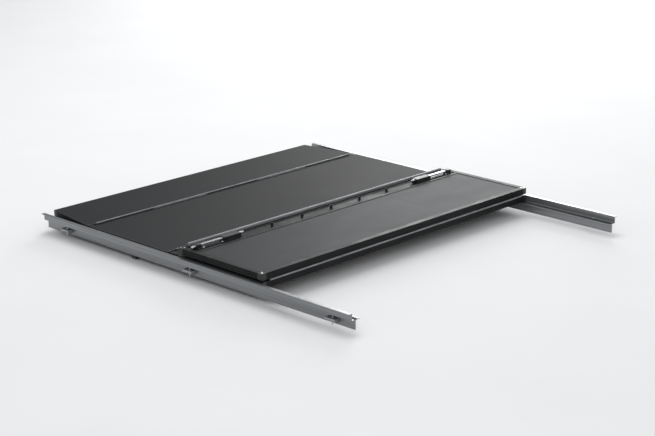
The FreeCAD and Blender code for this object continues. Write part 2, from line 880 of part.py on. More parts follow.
latch_set("tail", TAIL_EDGE, folded)
end_seals()
check_and_write()
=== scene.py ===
import json
import math

import bmesh
import bpy
import numpy as np
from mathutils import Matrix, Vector


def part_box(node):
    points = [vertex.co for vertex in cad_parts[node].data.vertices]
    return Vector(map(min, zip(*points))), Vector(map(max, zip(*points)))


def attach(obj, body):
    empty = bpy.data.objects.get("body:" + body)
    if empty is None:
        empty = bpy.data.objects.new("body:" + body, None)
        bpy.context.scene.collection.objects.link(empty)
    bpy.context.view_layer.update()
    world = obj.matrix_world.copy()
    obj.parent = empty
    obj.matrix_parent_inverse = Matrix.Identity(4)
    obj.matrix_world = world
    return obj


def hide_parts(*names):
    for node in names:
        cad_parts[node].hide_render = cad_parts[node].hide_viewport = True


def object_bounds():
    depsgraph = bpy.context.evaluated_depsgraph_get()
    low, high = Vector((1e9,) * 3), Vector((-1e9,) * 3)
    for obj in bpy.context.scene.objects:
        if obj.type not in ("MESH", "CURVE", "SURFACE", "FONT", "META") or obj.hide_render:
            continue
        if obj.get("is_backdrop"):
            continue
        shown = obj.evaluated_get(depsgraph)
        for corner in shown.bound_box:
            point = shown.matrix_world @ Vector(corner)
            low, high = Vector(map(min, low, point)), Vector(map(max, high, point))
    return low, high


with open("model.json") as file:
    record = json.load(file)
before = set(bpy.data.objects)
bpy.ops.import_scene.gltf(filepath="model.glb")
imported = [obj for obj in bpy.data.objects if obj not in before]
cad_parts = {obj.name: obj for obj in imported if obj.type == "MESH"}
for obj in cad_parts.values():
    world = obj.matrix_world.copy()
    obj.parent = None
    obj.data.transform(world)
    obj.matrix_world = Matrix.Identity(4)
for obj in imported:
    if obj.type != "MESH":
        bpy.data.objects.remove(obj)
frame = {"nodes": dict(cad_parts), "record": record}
cad_low, cad_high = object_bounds()

# ---------------------------------------------------------------------------------------------
# Side rails: one extruded aluminium section, cut to length for the left and the right, and grey
# anodised. Each has a ledge for the panels, a web that hangs inside the bed, and a lip whose flange
# laps the bed's cap. They drop on to the side walls and are clamped there.

MM = 0.001


def linear(hex_colour):
    """An sRGB hex colour as linear red, green, blue and alpha."""
    parts = [int(hex_colour[k:k + 2], 16) / 255 for k in (1, 3, 5)]
    return [p / 12.92 if p <= 0.04045 else ((p + 0.055) / 1.055) ** 2.4 for p in parts] + [1.0]


def add(tree, kind, settings=None, links=None):
    """Adds one node: settings are its own properties or unlinked sockets, links feed its sockets."""
    made = tree.nodes.new(kind)
    for name, value in (settings or {}).items():
        if isinstance(name, str) and name.islower():
            setattr(made, name, value)
        else:
            made.inputs[name].default_value = value
    for name, source in (links or {}).items():
        tree.links.new(source, made.inputs[name])
    return made


def blank_material(name, roughness=0.5, metallic=0.0, gloss=0.5):
    """A material with one principled shader, read by the object's own metres."""
    material = bpy.data.materials.new(name)
    material.use_nodes = True
    tree = material.node_tree
    tree.nodes.clear()
    output = add(tree, "ShaderNodeOutputMaterial")
    finish = {"Roughness": roughness, "Metallic": metallic, "Specular IOR Level": gloss}
    shader = add(tree, "ShaderNodeBsdfPrincipled", finish)
    tree.links.new(shader.outputs["BSDF"], output.inputs["Surface"])
    place = add(tree, "ShaderNodeTexCoord").outputs["Object"]
    return material, tree, shader, place


def grain(tree, place, size, detail=3.0):
    """Noise whose cells are size metres along X, Y and Z, from 0 to 1."""
    scaled = add(tree, "ShaderNodeMapping", {"Scale": [1 / s for s in size]}, {"Vector": place})
    noise = add(
        tree,
        "ShaderNodeTexNoise",
        {"Scale": 1.0, "Detail": detail, "Roughness": 0.55},
        {"Vector": scaled.outputs["Vector"]},
    )
    return noise.outputs["Fac"]


def shades(tree, factor, dark, light, low=0.35, high=0.65):
    """A ramp from a dark to a light hex colour as the factor goes from low to high."""
    ramp = add(tree, "ShaderNodeValToRGB", links={"Fac": factor})
    for stop, place, colour in zip(ramp.color_ramp.elements, (low, high), (dark, light)):
        stop.position = place
        stop.color = linear(colour)
    return ramp.outputs["Color"]


def spread(tree, factor, low, high):
    """The middle of a noise's range, 0.3 to 0.7, stretched on to a range of roughness."""
    limits = {"From Min": 0.3, "From Max": 0.7, "To Min": low, "To Max": high}
    return add(tree, "ShaderNodeMapRange", limits, {"Value": factor}).outputs["Result"]


def relief(tree, shader, layers):
    """Bumps on top of each other: each layer is a height from 0 to 1 and its depth in metres."""
    normal = {}
    for height, depth in layers:
        bump = add(tree, "ShaderNodeBump", {"Distance": depth}, {"Height": height, **normal})
        normal = {"Normal": bump.outputs["Normal"]}
    tree.links.new(normal["Normal"], shader.inputs["Normal"])


BODY_OF = {
    node: body for body, members in frame["record"]["behaviour"]["bodies"].items() for node in members
}


def rounded(outline, radius, steps=4):
    """A closed outline whose corners are cut back by a radius and bridged by parabolic arcs.

    An arc goes from a point before its corner to one after it: (1-s)^2 start + 2s(1-s) corner + s^2 end.
    """
    corner = np.array(outline, float)
    before = np.roll(corner, 1, 0) - corner
    after = np.roll(corner, -1, 0) - corner
    length_before = np.linalg.norm(before, axis=1)
    length_after = np.linalg.norm(after, axis=1)
    reach = np.minimum(np.minimum(length_before, length_after) * 0.45, radius)
    start = corner + before * (reach / length_before)[:, None]
    end = corner + after * (reach / length_after)[:, None]
    s = np.linspace(0, 1, steps)[None, :, None]
    arcs = (1 - s) ** 2 * start[:, None] + 2 * s * (1 - s) * corner[:, None] + s ** 2 * end[:, None]
    return arcs.reshape(-1, 2)


def drawn_in(section, depth):
    """A closed section moved inwards by a depth at right angles to its edges.

    Each point goes along the bisector of its two edges, by the depth over the cosine of half the turn.
    At a sharp corner the cosine counts as 0.6, so that the point doesn't run too far.
    """
    before = section - np.roll(section, 1, 0)
    after = np.roll(section, -1, 0) - section
    before /= np.linalg.norm(before, axis=1, keepdims=True) + 1e-12
    after /= np.linalg.norm(after, axis=1, keepdims=True) + 1e-12
    along = before + after
    along /= np.linalg.norm(along, axis=1, keepdims=True) + 1e-12
    reach = depth / np.maximum(np.sum(along * after, axis=1, keepdims=True), 0.6)
    following = np.roll(section, -1, 0)
    turn = np.sign(np.sum(section[:, 0] * following[:, 1] - section[:, 1] * following[:, 0]))
    return section + reach * turn * np.stack([-along[:, 1], along[:, 0]], 1)


def bar(section, along, low, high, edge):
    """A closed section carried straight along an axis, drawn in over a short edge at both ends."""
    stations = ((edge, low), (0.0, low + edge), (0.0, high - edge), (edge, high))
    rows = [np.insert(drawn_in(section, d), "xyz".index(along), at, axis=1) for d, at in stations]
    return np.array(rows)


def make_piece(name, shells, material, body, stands_for=(), looped=False, rim=None):
    """One object from closed shells, each a grid of rows of points with quads between the rows.

    A shell's first and last rows are closed by caps, or joined to each other where it is looped, as a
    ring is. rim gives each row a value, kept as an attribute for the material.
    """
    points, faces, rims, offset = [], [], [], 0
    for shell in shells:
        rows, columns = shell.shape[:2]
        row = np.arange(rows if looped else rows - 1)[:, None]
        column = np.arange(columns)[None, :]
        following, beside = (row + 1) % rows, (column + 1) % columns
        corners = [row * columns + column, row * columns + beside]
        corners += [following * columns + beside, following * columns + column]
        faces += (np.stack(corners, -1).reshape(-1, 4) + offset).tolist()
        if not looped:
            first = np.arange(columns) + offset
            faces += [first[::-1].tolist(), (first + (rows - 1) * columns).tolist()]
        points.append(shell.reshape(-1, 3))
        rims.append(np.repeat(np.zeros(rows) if rim is None else np.array(rim), columns))
        offset += rows * columns
    mesh = bpy.data.meshes.new(name)
    mesh.from_pydata(np.concatenate(points).tolist(), [], faces)
    mesh.attributes.new("rim", "FLOAT", "POINT").data.foreach_set(
        "value", np.concatenate(rims).astype(np.float32)
    )
    work = bmesh.new()
    work.from_mesh(mesh)
    bmesh.ops.recalc_face_normals(work, faces=work.faces)
    work.to_mesh(mesh)
    work.free()
    mesh.shade_smooth()
    mesh.set_sharp_from_angle(angle=math.radians(50))
    mesh.materials.append(material)
    piece = bpy.data.objects.new(name, mesh)
    bpy.context.scene.collection.objects.link(piece)
    piece.modifiers.new("shading", "WEIGHTED_NORMAL").keep_sharp = True
    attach(piece, body)
    if stands_for:
        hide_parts(*stands_for)
    return piece


def anodised_rail():
    """Grey anodised extrusion: die lines run its length, with a satin sheen and dull patches."""
    material, tree, shader, place = blank_material("grey_anodised_extrusion", metallic=0.7)
    # die lines are 0.2 mm apart; 2 mm shows them
    lines = grain(tree, place, (2 * MM, 900 * MM, 2 * MM))
    patches = grain(tree, place, (160 * MM, 420 * MM, 90 * MM))
    tree.links.new(shades(tree, lines, "#7d7f81", "#97999b"), shader.inputs["Base Color"])
    tree.links.new(spread(tree, patches, 0.26, 0.42), shader.inputs["Roughness"])
    relief(tree, shader, [(lines, 0.03 * MM)])
    return material


GREY_ANODISED = anodised_rail()
rail_low, rail_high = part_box("right_rail")
WALL = 3 * MM
RAIL_CORNER = 0.8 * MM
LEDGE_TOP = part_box("rail_seals")[0].z
WEB_INNER = 784 * MM
LIP_INNER = 803.5 * MM
ledge_foot = LEDGE_TOP - WALL
flange_foot = rail_high.z - WALL
rail_outline = [(rail_low.x, ledge_foot), (WEB_INNER, ledge_foot), (WEB_INNER, rail_low.z)]
rail_outline += [(WEB_INNER + WALL, rail_low.z), (WEB_INNER + WALL, ledge_foot)]
rail_outline += [(LIP_INNER + WALL, ledge_foot), (LIP_INNER + WALL, flange_foot)]
rail_outline += [(rail_high.x, flange_foot), (rail_high.x, rail_high.z), (LIP_INNER, rail_high.z)]
rail_outline += [(LIP_INNER, LEDGE_TOP), (rail_low.x, LEDGE_TOP)]
rail_bar = bar(rounded(rail_outline, RAIL_CORNER), "y", rail_low.y, rail_high.y, 0.3 * MM)
for side, factor in (("right", 1), ("left", -1)):
    make_piece(
        f"{side}_extruded_rail",
        [rail_bar * [factor, 1, 1]],
        GREY_ANODISED,
        BODY_OF[f"{side}_rail"],
        (f"{side}_rail",),
    )

# ---------------------------------------------------------------------------------------------
# Ledge seals: closed-cell rubber strips stuck along both ledges, where the panels' side members
# come down. The face is softly crowned and has the fine pores of sponge rubber.


def box_section(low, high):
    """The four corners of a rectangle, counter-clockwise."""
    return [(low[0], low[1]), (high[0], low[1]), (high[0], high[1]), (low[0], high[1])]


def both_sides(shell):
    """A shell on the right and its mirror image on the left."""
    return [shell, shell * [-1, 1, 1]]


def sponge_rubber():
    """EPDM sponge: near black and matt, with pores and a grey bloom of dust in patches."""
    material, tree, shader, place = blank_material("epdm_sponge_rubber")
    # pores are 0.3 mm; 1.2 mm shows them
    pores = grain(tree, place, (1.2 * MM,) * 3)
    bloom = grain(tree, place, (70 * MM, 70 * MM, 30 * MM))
    tree.links.new(shades(tree, bloom, "#1b1c1d", "#2c2d2e"), shader.inputs["Base Color"])
    tree.links.new(spread(tree, pores, 0.62, 0.8), shader.inputs["Roughness"])
    relief(tree, shader, [(pores, 0.12 * MM)])
    return material


SPONGE = sponge_rubber()
SEAL_WIDTH = 12 * MM
SEAL_CROWN = 1.2 * MM
seal_low, seal_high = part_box("rail_seals")
strip = box_section((seal_high.x - SEAL_WIDTH, seal_low.z), (seal_high.x, seal_high.z))
strip_bar = bar(rounded(strip, SEAL_CROWN), "y", seal_low.y, seal_high.y, 0.3 * MM)
make_piece(
    "ledge_seal_strips",
    both_sides(strip_bar),
    SPONGE,
    BODY_OF["rail_seals"],
    ("rail_seals",),
)

# ---------------------------------------------------------------------------------------------
# Clamps: a zinc-plated countersunk screw goes down through the ledge and turns in a die-cast jaw,
# which climbs it and bites the underside of the bed's flange. A lock nut under each jaw stops it.

ROUND = 24


def bright_zinc():
    """Bright zinc plating: cold pale grey, a little uneven, with fine handling marks."""
    material, tree, shader, place = blank_material("bright_zinc_plate", metallic=1.0)
    spangle = grain(tree, place, (9 * MM,) * 3)
    # handling marks are 0.1 mm wide; 0.8 mm shows them
    marks = grain(tree, place, (6 * MM, 0.8 * MM, 0.8 * MM))
    tree.links.new(shades(tree, spangle, "#c3c6c8", "#e4e6e5"), shader.inputs["Base Color"])
    tree.links.new(spread(tree, marks, 0.3, 0.42), shader.inputs["Roughness"])
    relief(tree, shader, [(marks, 0.02 * MM)])
    return material


def turned(rings, middle, along, lobes=None):
    """Rings about an axis: each is a distance along it and a radius.

    Where lobes gives a ring a number and a depth, its radius swings as 1 - depth * (1 - cos(number *
    angle)) / 2, which draws a slot, cross or hexagon.
    """
    angle = np.linspace(0, 2 * np.pi, ROUND, endpoint=False)
    axis = "xyz".index(along)
    first, second = [k for k in range(3) if k != axis]
    grid = np.zeros((len(rings), ROUND, 3))
    for row, (distance, radius) in enumerate(rings):
        number, depth = (lobes or {}).get(row, (0, 0.0))
        reach = radius * (1 - depth * (1 - np.cos(number * angle)) / 2)
        grid[row, :, first] = middle[first] + reach * np.cos(angle)
        grid[row, :, second] = middle[second] + reach * np.sin(angle)
        grid[row, :, axis] = middle[axis] + distance
    return grid


def thread(middle, radius, pitch, low, high):
    """A screw's shank: the radius falls to the root and back once per pitch, and the ridge winds up
    as the angle goes round, so radius = outer - depth * |sin(pi * (height / pitch - turn))|.
    """
    rows = np.linspace(low, high, int((high - low) / pitch * 5))
    angle = np.linspace(0, 2 * np.pi, ROUND, endpoint=False)
    phase = rows[:, None] / pitch - angle[None, :] / (2 * np.pi)
    reach = radius * (1 - 0.13 * np.abs(np.sin(np.pi * phase)))
    return np.stack(
        [
            middle[0] + reach * np.cos(angle),
            middle[1] + reach * np.sin(angle),
            np.repeat(rows[:, None], ROUND, 1),
        ],
        -1,
    )


def cast_jaw():
    """Die-cast aluminium: pale satin skin, flow marks and a slightly pitted face."""
    material, tree, shader, place = blank_material("die_cast_aluminium", metallic=0.9)
    flow = grain(tree, place, (18 * MM, 7 * MM, 7 * MM))
    # casting pits are 0.2 mm; 1.5 mm shows them
    pits = grain(tree, place, (1.5 * MM,) * 3)
    tree.links.new(shades(tree, flow, "#909294", "#b4b6b7"), shader.inputs["Base Color"])
    tree.links.new(spread(tree, pits, 0.38, 0.55), shader.inputs["Roughness"])
    relief(tree, shader, [(pits, 0.08 * MM)])
    return material


BRIGHT_ZINC = bright_zinc()
CAST_ALUMINIUM = cast_jaw()
screw_low, screw_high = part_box("clamp_screws")
SCREW_HEAD_RADIUS = 5.6 * MM
SCREW_RADIUS = 3 * MM
HEAD_PROUD = 0.3 * MM
HEAD_DEPTH = 3 * MM
PITCH = 1 * MM
TOOTH = 1.5 * MM
TOOTH_DEPTH = 1.4 * MM
BITE = 9 * MM
JAW_CHAMFER = (4 * MM, 7 * MM)
SCREW_X = screw_high.x - SCREW_HEAD_RADIUS
screws = []
for number in (1, 2, 3):
    jaw_low, jaw_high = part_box(f"right_clamp_jaw_{number}")
    y = (jaw_low.y + jaw_high.y) / 2
    place = (SCREW_X, y, 0)
    top = screw_high.z + HEAD_PROUD
    rings = [(top - HEAD_DEPTH, SCREW_RADIUS), (top - 0.3 * MM, SCREW_HEAD_RADIUS * 0.97)]
    rings += [(top - 0.1 * MM, SCREW_HEAD_RADIUS), (top, SCREW_HEAD_RADIUS * 0.96)]
    rings += [(top, 3.1 * MM), (top - 0.3 * MM, 2.9 * MM), (top - 2 * MM, 2.8 * MM)]
    rings += [(top - 2.1 * MM, 0.02 * MM)]
    hexagon = {4: (6, 0.12), 5: (6, 0.13), 6: (6, 0.13)}
    screws += both_sides(turned(rings, place, "z", hexagon))
    screws += both_sides(thread(place, SCREW_RADIUS, PITCH, screw_low.z, top - HEAD_DEPTH))

    bite = np.arange(jaw_high.x - BITE, jaw_high.x - TOOTH, TOOTH)
    teeth = [(x + s * TOOTH, jaw_high.z - s * TOOTH_DEPTH) for x in bite for s in (0.0, 0.5)]
    jaw_outline = [(jaw_low.x, jaw_low.z), (jaw_high.x - JAW_CHAMFER[0], jaw_low.z)]
    jaw_outline += [(jaw_high.x, jaw_low.z + JAW_CHAMFER[1]), (jaw_high.x, jaw_high.z)]
    jaw_outline += teeth[::-1] + [(jaw_low.x, jaw_high.z)]
    jaw = bar(rounded(jaw_outline, 0.9 * MM, 3), "y", jaw_low.y, jaw_high.y, 0.8 * MM)
    nut_rings = [(-5.5, 4.4), (-5.2, 5.2), (-1.4, 5.5), (-1.4, 6.4), (0.0, 6.4)]
    nut = turned(
        [(jaw_low.z + d * MM, r * MM) for d, r in nut_rings], place, "z", {1: (6, 0.12), 2: (6, 0.12)}
    )
    for side, factor in (("right", 1), ("left", -1)):
        node = f"{side}_clamp_jaw_{number}"
        make_piece(
            f"{side}_clamp_{number}_toothed_jaw",
            [jaw * [factor, 1, 1]],
            CAST_ALUMINIUM,
            BODY_OF[node],
            (node,),
        )
        make_piece(
            f"{side}_clamp_{number}_lock_nut",
            [nut * [factor, 1, 1]],
            BRIGHT_ZINC,
            BODY_OF[node],
        )
make_piece(
    "clamp_bolts", screws, BRIGHT_ZINC, BODY_OF["clamp_screws"], ("clamp_screws",)
)

# ---------------------------------------------------------------------------------------------
# Panel frames: hollow black-anodised extrusions round each panel. The side members have two fine
# grooves along their outer face. The cross members at a hinge carry a raised ridge, and the two with
# latches are wide, with a shallow channel underneath for the mechanism.

FRAME = 24 * MM
SKIN = 1.2 * MM
GROOVES = ((6 * MM, 8 * MM), (15 * MM, 17 * MM))
GROOVE_DEPTH = 1.5 * MM
RIDGE = 11 * MM
CHANNEL = 3 * MM
CHANNEL_MARGIN = 12 * MM
FRAME_EDGE = 1.1 * MM
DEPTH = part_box("panel_2_top_skin")[1].z
UNDER_SKIN = DEPTH - SKIN
CREST = DEPTH + 1 * MM
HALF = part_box("panel_2_corner_caps")[1].x


def axis_of(pin):
    """A hinge's axis, as the middle of its pin."""
    low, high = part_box(pin)
    return (low + high) / 2


FRONT_AXIS = axis_of("front_hinge_pin")
MID_FRONT_AXIS = axis_of("mid_hinge_front_pin")
MID_REAR_AXIS = axis_of("mid_hinge_rear_pin")
REAR_AXIS = axis_of("rear_hinge_pin")
HINGE_AT = {
    1: (None, FRONT_AXIS),
    2: (FRONT_AXIS, MID_FRONT_AXIS),
    3: (MID_REAR_AXIS, REAR_AXIS),
    4: (REAR_AXIS, None),
}
FOLDED = 4


def unfolded(y):
    """A place along the bed on the folded panel, as if it lay flat."""
    return 2 * REAR_AXIS.y - y


def laid(panel, shell):
    """The last panel is made flat like the others, then turned half a turn about the rear hinge."""
    if panel != FOLDED:
        return shell
    return shell * [1, -1, -1] + [0, 2 * REAR_AXIS.y, 2 * REAR_AXIS.z]


def ends_of(panel):
    """The panel's front and rear edges, and the inner face of its rear member, as it is made."""
    low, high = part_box(f"panel_{panel}_corner_caps")
    member_low, member_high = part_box(f"panel_{panel}_rear_frame")
    if panel != FOLDED:
        return high.y, low.y, member_high.y
    return unfolded(low.y), unfolded(high.y), unfolded(member_low.y)


NOSE_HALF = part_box("panel_1_front_frame")[1].x + FRAME
NOSE_EDGE = ends_of(1)[0]
LEAN = (HALF - NOSE_HALF) / (NOSE_EDGE - FRONT_AXIS.y)


def half_at(panel, y):
    """Half the panel's width at y; only the front panel narrows, towards the cab."""
    return HALF - (y - FRONT_AXIS.y) * LEAN if panel == 1 else HALF


def black_extrusion(name, size):
    """Black-anodised extrusion: satin, with die lines along its length and rubbed, paler streaks."""
    material, tree, shader, place = blank_material(name, gloss=0.2)
    # die lines are 0.2 mm apart; 1.6 mm shows them
    lines = grain(tree, place, size)
    haze = grain(tree, place, (120 * MM, 120 * MM, 40 * MM))
    rubbed = grain(tree, place, (35 * MM, 35 * MM, 6 * MM), 6.0)
    base = shades(tree, lines, "#0c0d0e", "#151618")
    worn = shades(tree, rubbed, "#000000", "#8f9193", 0.62, 0.9)
    mixed = add(
        tree,
        "ShaderNodeMix",
        {"data_type": "RGBA", "blend_type": "ADD", 0: 0.22},
        {6: base, 7: worn},
    )
    tree.links.new(mixed.outputs[2], shader.inputs["Base Color"])
    tree.links.new(spread(tree, haze, 0.42, 0.56), shader.inputs["Roughness"])
    relief(tree, shader, [(lines, 0.02 * MM)])
    return material


CROSSWISE = black_extrusion("black_anodised_extrusion_across", (700 * MM, 1.6 * MM, 1.6 * MM))
LENGTHWISE = black_extrusion("black_anodised_extrusion_along", (1.6 * MM, 700 * MM, 1.6 * MM))


def grooved_face(at, inwards):
    """Points up an outer face at one place, with its two grooves cut inwards."""
    points = [(at, 0.0)]
    for low, high in GROOVES:
        points += [(at, low), (at + inwards, low), (at + inwards, high), (at, high)]
    return points + [(at, UNDER_SKIN)]


def side_member(panel, front, rear):
    """The right-hand member: its section leans with the panel's side as it runs along the bed."""
    outline = grooved_face(0.0, -GROOVE_DEPTH) + [(-FRAME, UNDER_SKIN), (-FRAME, 0.0)]
    shell = bar(rounded(outline, FRAME_EDGE), "y", rear + FRAME, front - FRAME, 0.2 * MM)
    shell[..., 0] += half_at(panel, shell[..., 1])
    return shell


def cross_section(near, far, hinged, channelled):
    """A cross member's section from its outer face, near, to its inner face, far, along the bed."""
    side = 1 if far > near else -1
    outline = grooved_face(near, GROOVE_DEPTH * side)
    if hinged:
        outline[-1] = (near, CREST)
        outline += [(near + RIDGE * side, CREST), (near + RIDGE * side, UNDER_SKIN)]
    outline += [(far, UNDER_SKIN), (far, 0.0)]
    if channelled:
        start, end = near + 2 * CHANNEL_MARGIN * side, far - CHANNEL_MARGIN * side
        outline += [(end, 0.0), (end, CHANNEL), (start, CHANNEL), (start, 0.0)]
    return rounded(outline, FRAME_EDGE)


for panel in (1, 2, 3, 4):
    front, rear, inner = ends_of(panel)
    body = BODY_OF[f"panel_{panel}_side_frames"]
    member = laid(panel, side_member(panel, front, rear))
    make_piece(
        f"panel_{panel}_side_members",
        both_sides(member),
        LENGTHWISE,
        body,
        (f"panel_{panel}_side_frames",),
    )
    wide = inner - rear > 2 * FRAME
    for title, near, far, hinge, channel in (
        ("front", front, front - FRAME, HINGE_AT[panel][0], False),
        ("rear", rear, inner, HINGE_AT[panel][1], wide),
    ):
        reach = half_at(panel, near) - FRAME
        section = cross_section(near, far, hinge is not None, channel)
        make_piece(
            f"panel_{panel}_{title}_member",
            [laid(panel, bar(section, "x", -reach, reach, 0.2 * MM))],
            CROSSWISE,
            body,
            (f"panel_{panel}_{title}_frame",),
        )

# ---------------------------------------------------------------------------------------------
# Hinges: five long knuckles on each axis, turn about on the two leaves, extruded in one with short
# arms that are riveted over the ridges. They are satin black, coloured grey all over as a painted
# highlight and paler in rubbed patches, with a stainless wire pin from end to end. A wide strip with
# two hinges joins the second and third panels.

KNUCKLES = 5
KNUCKLE = 304 * MM
KNUCKLE_GAP = 0.6 * MM
BARREL = 3.4 * MM
PIN_HOLE = 1.65 * MM
ARM = 8 * MM
ARM_LOW = -3.2 * MM
ARM_HIGH = -0.6 * MM
FIXED = (0, 2, 4)
MOVING = (1, 3)


def hinge_painted_highlight():
    """Black hinge extrusion, coloured grey all over as a painted highlight and paler in rubbed patches.
    """
    material, tree, shader, place = blank_material("black_hinge_painted_highlight_and_rubbing", metallic=0.55)
    # die lines are 0.2 mm apart; 1.2 mm shows them
    lines = grain(tree, place, (300 * MM, 1.2 * MM, 1.2 * MM))
    rubbed = grain(tree, place, (45 * MM, 8 * MM, 8 * MM), 5.0)
    # painted highlight: both greys stand in for light on the black coating; the noise only adds rubbed
    # patches
    tree.links.new(shades(tree, rubbed, "#76787a", "#a2a4a6", 0.3, 0.75), shader.inputs["Base Color"])
    tree.links.new(spread(tree, lines, 0.26, 0.4), shader.inputs["Roughness"])
    relief(tree, shader, [(lines, 0.03 * MM)])
    return material


def stainless_wire():
    """Drawn stainless wire: bright, with very fine drawing lines along it."""
    material, tree, shader, place = blank_material("drawn_stainless_wire", metallic=1.0)
    # drawing lines are 0.05 mm apart; 0.5 mm shows them
    lines = grain(tree, place, (200 * MM, 0.5 * MM, 0.5 * MM))
    tree.links.new(shades(tree, lines, "#a9abad", "#c6c8c9"), shader.inputs["Base Color"])
    tree.links.new(spread(tree, lines, 0.2, 0.32), shader.inputs["Roughness"])
    return material


def knuckle_loops(axis, side):
    """A knuckle's outer loop, a barrel run into its arm, and its bore with a point for each of the
    outer ones, at the same angle from the axis.
    """
    start = math.atan2(ARM_LOW, math.sqrt(BARREL ** 2 - ARM_LOW ** 2))
    end = math.atan2(ARM_HIGH, math.sqrt(BARREL ** 2 - ARM_HIGH ** 2)) - 2 * math.pi
    angle = np.linspace(start, end, 22)
    barrel = np.stack([np.cos(angle), np.sin(angle)], 1) * BARREL
    outer = np.concatenate([[(ARM, ARM_LOW)], barrel, [(ARM, ARM_HIGH)]])
    around = np.arctan2(outer[:, 1], outer[:, 0])
    bore = np.stack([np.cos(around), np.sin(around)], 1) * PIN_HOLE
    flip = np.array([side, 1.0])
    return outer * flip + [axis.y, axis.z], bore * flip + [axis.y, axis.z]


def knuckles(axis, side, which):
    """The knuckles of one leaf: rings from the bore out to the barrel and back along each one."""
    outer, bore = knuckle_loops(axis, side)
    edge = 0.25 * MM
    rounded_end = outer + (bore - outer) * 0.08
    shells = []
    for index in which:
        low = KNUCKLE * (index - KNUCKLES / 2) + KNUCKLE_GAP / 2
        high = low + KNUCKLE - KNUCKLE_GAP
        stations = ((bore, low), (rounded_end, low), (outer, low + edge))
        stations += ((outer, high - edge), (rounded_end, high), (bore, high))
        shells.append(np.array([np.insert(loop, 0, x, axis=1) for loop, x in stations]))
    return shells


def keep_node(node, material, radius):
    """A CAD node with its own shape: its loose triangles welded and its sharp edges rounded."""
    piece = frame["nodes"][node]
    piece.data.materials.clear()
    piece.data.materials.append(material)
    piece.modifiers.new("weld", "WELD").merge_threshold = 0.01 * MM
    bevel = piece.modifiers.new("edges", "BEVEL")
    bevel.width = radius
    bevel.segments = 2
    bevel.limit_method = "ANGLE"
    bevel.angle_limit = math.radians(35)
    piece.modifiers.new("shading", "WEIGHTED_NORMAL").keep_sharp = True


HINGE_PAINTED_HIGHLIGHT = hinge_painted_highlight()
STAINLESS = stainless_wire()
for title, axis, side, which, panel in (
    ("front_hinge_fixed_leaf", FRONT_AXIS, 1, FIXED, 1),
    ("front_hinge_moving_leaf", FRONT_AXIS, -1, MOVING, 2),
    ("mid_hinge_second_panel_leaf", MID_FRONT_AXIS, 1, FIXED, 2),
    ("mid_hinge_third_panel_leaf", MID_REAR_AXIS, -1, FIXED, 3),
    ("rear_hinge_third_panel_leaf", REAR_AXIS, 1, FIXED, 3),
    ("rear_hinge_tail_panel_leaf", REAR_AXIS, -1, MOVING, 4),
):
    leaf = [laid(panel, shell) for shell in knuckles(axis, side, which)]
    body = BODY_OF[f"panel_{panel}_core"]
    make_piece(title, leaf, HINGE_PAINTED_HIGHLIGHT, body, looped=True)

STRIP_MARGIN = 3 * MM
FLUTE = 3 * MM
FLUTE_DEPTH = 1 * MM
strip_low, strip_high = MID_REAR_AXIS.y + STRIP_MARGIN, MID_FRONT_AXIS.y - STRIP_MARGIN
strip_foot, strip_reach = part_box("mid_hinge_link")[0].z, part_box("mid_hinge_link")[1].x
middle = (strip_low + strip_high) / 2
strip_outline = box_section((strip_low, strip_foot), (strip_high, CREST))[:3]
for y in (middle + 2 * FLUTE, middle - 2 * FLUTE):
    strip_outline += [(y + FLUTE / 2, CREST), (y, CREST - FLUTE_DEPTH), (y - FLUTE / 2, CREST)]
strip_outline += [(strip_low, CREST)]
link_bar = bar(rounded(strip_outline, FRAME_EDGE), "x", -strip_reach, strip_reach, 0.6 * MM)
link_body = BODY_OF["mid_hinge_link"]
make_piece("mid_hinge_strip", [link_bar], CROSSWISE, link_body, ("mid_hinge_link",))
link_leaves = knuckles(MID_FRONT_AXIS, -1, MOVING) + knuckles(MID_REAR_AXIS, 1, MOVING)
make_piece("mid_hinge_strip_leaves", link_leaves, HINGE_PAINTED_HIGHLIGHT, link_body, looped=True)
for pin in ("front_hinge_pin", "mid_hinge_front_pin", "mid_hinge_rear_pin", "rear_hinge_pin"):
    keep_node(pin, STAINLESS, 0.3 * MM)

# ---------------------------------------------------------------------------------------------
# Corner caps: moulded nylon blocks that plug the ends of the side members and square off each
# corner. At a hinge they carry the ridge on. Each has a rounded outer corner and is held from below
# by two countersunk screws, all but flush with it.

SCREW_RISE = 0.15 * MM
CAP_SCREW = 3.6 * MM
CAP_LIP = 1.1 * MM
CAP_CROWN = 0.3 * MM
RIDGE_SETBACK = 1.6 * MM
# the third corner is the outer one
CAP_CORNERS = np.array([0.5, 0.5, 5.0, 0.5]) * MM


def moulded_nylon():
    """Glass-filled nylon: black, finely spark-eroded texture, with a soft sheen and pale flow marks."""
    material, tree, shader, place = blank_material("moulded_nylon")
    # spark erosion is 0.1 mm; 0.9 mm shows it
    erosion = grain(tree, place, (0.9 * MM,) * 3)
    flow = grain(tree, place, (16 * MM, 10 * MM, 10 * MM))
    tree.links.new(shades(tree, flow, "#131415", "#222325"), shader.inputs["Base Color"])
    tree.links.new(spread(tree, erosion, 0.34, 0.5), shader.inputs["Roughness"])
    relief(tree, shader, [(erosion, 0.05 * MM)])
    return material


def slab(outline, radius, levels):
    """A flat outline with rounded corners carried upwards: each level draws it in and has its height.

    The corners' radius shrinks by as much as the outline is drawn in, so that the rings stay nested.
    """
    corners = np.array(outline, float)
    rows = []
    for depth, height in levels:
        ring = rounded(drawn_in(corners, depth), np.maximum(radius - depth, 0.1 * MM), 6)
        rows.append(np.insert(ring, 2, height, axis=1))
    return np.array(rows)


def screw_head(middle, along, way, radius, height):
    """A low domed head with a cross recess, standing on the surface at middle and facing along way."""
    rings = [(-0.4, 0.96), (0.0, 1.0), (0.35, 0.97), (0.75, 0.8), (1.0, 0.56)]
    recess = [(1.0, 0.5), (0.6, 0.44), (0.1, 0.3), (0.05, 0.02)]
    outer = [(d * height * way, r * radius) for d, r in rings + recess]
    cross = {len(rings) + k: (4, 0.62) for k in range(3)}
    return turned(outer, middle, along, cross)


